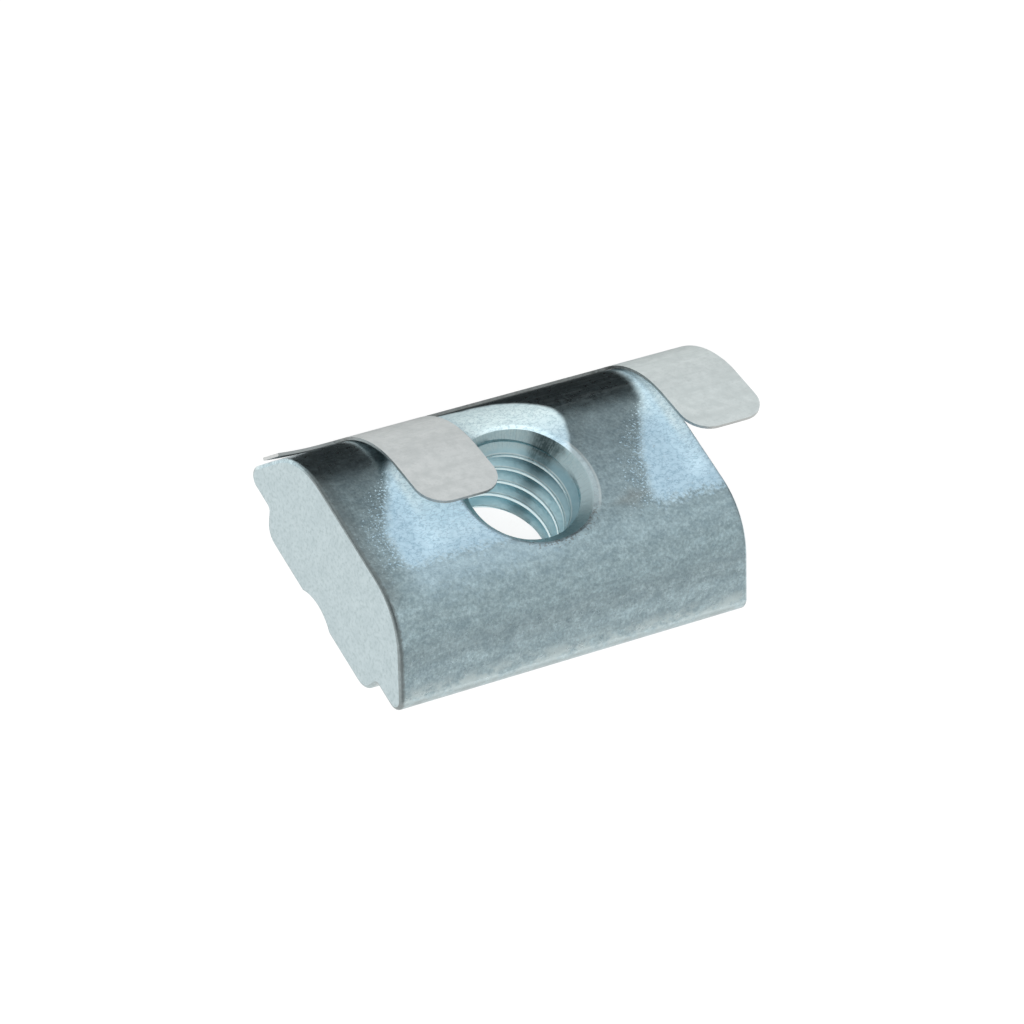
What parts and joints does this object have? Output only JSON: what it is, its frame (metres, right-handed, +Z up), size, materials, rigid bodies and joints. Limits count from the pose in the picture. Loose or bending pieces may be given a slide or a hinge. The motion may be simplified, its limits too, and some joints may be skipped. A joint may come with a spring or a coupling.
{
  "type": "profile t-nut",
  "caption": "Steel T-slot nut with leaning flanks, a guide step and a threaded hole, held in its slot by a thin spring sheet with bent tabs.",
  "frame": {"origin": "where the thread axis meets the plane of the guide face, on which the nut lies", "axes": "+X along the slot, towards the end where the spring sheet stands out; +Y across it, towards the spring's flank; +Z up, from the guide face to the crown"},
  "size_m": [0.0185, 0.0118, 0.006],
  "materials": {
    "nut": "blue-white zinc plated, finely grained",
    "spring": "satin rolled spring steel"
  },
  "bodies": {
    "root": {"nut_body": "nut", "spring_sheet": "spring"}
  },
  "joints": []
}
